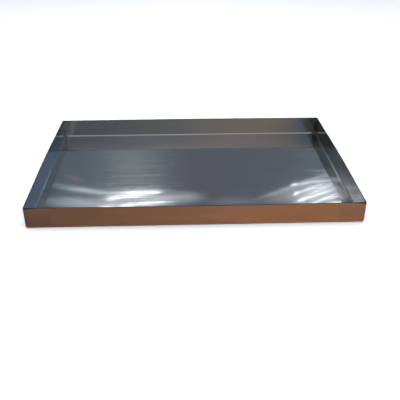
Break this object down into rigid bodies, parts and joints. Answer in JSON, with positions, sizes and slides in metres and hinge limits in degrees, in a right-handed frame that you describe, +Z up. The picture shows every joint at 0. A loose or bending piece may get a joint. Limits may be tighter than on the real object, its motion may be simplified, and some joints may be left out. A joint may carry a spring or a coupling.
{
  "type": "oil drain pan",
  "caption": "Shallow open rectangular stainless steel drip tray, folded from one sheet with welded corners, for catching drained oil.",
  "frame": {"origin": "middle of the underside, on the surface that the pan stands on", "axes": "+X along the long side, +Y along the short side towards the back wall, +Z up"},
  "size_m": [0.6036, 0.404, 0.04],
  "materials": {
    "stainless_sheet": "bright cold-rolled stainless steel with a fine grain along the long side",
    "weld_metal": "weld bead ground flush and lightly heat tinted"
  },
  "bodies": {
    "root": {"folded_pan": "stainless_sheet", "seam_weld_back_right": "weld_metal", "seam_weld_back_left": "weld_metal", "seam_weld_front_left": "weld_metal", "seam_weld_front_right": "weld_metal", "relief_weld_back_right": "weld_metal", "relief_weld_back_left": "weld_metal", "relief_weld_front_left": "weld_metal", "relief_weld_front_right": "weld_metal"}
  },
  "joints": []
}
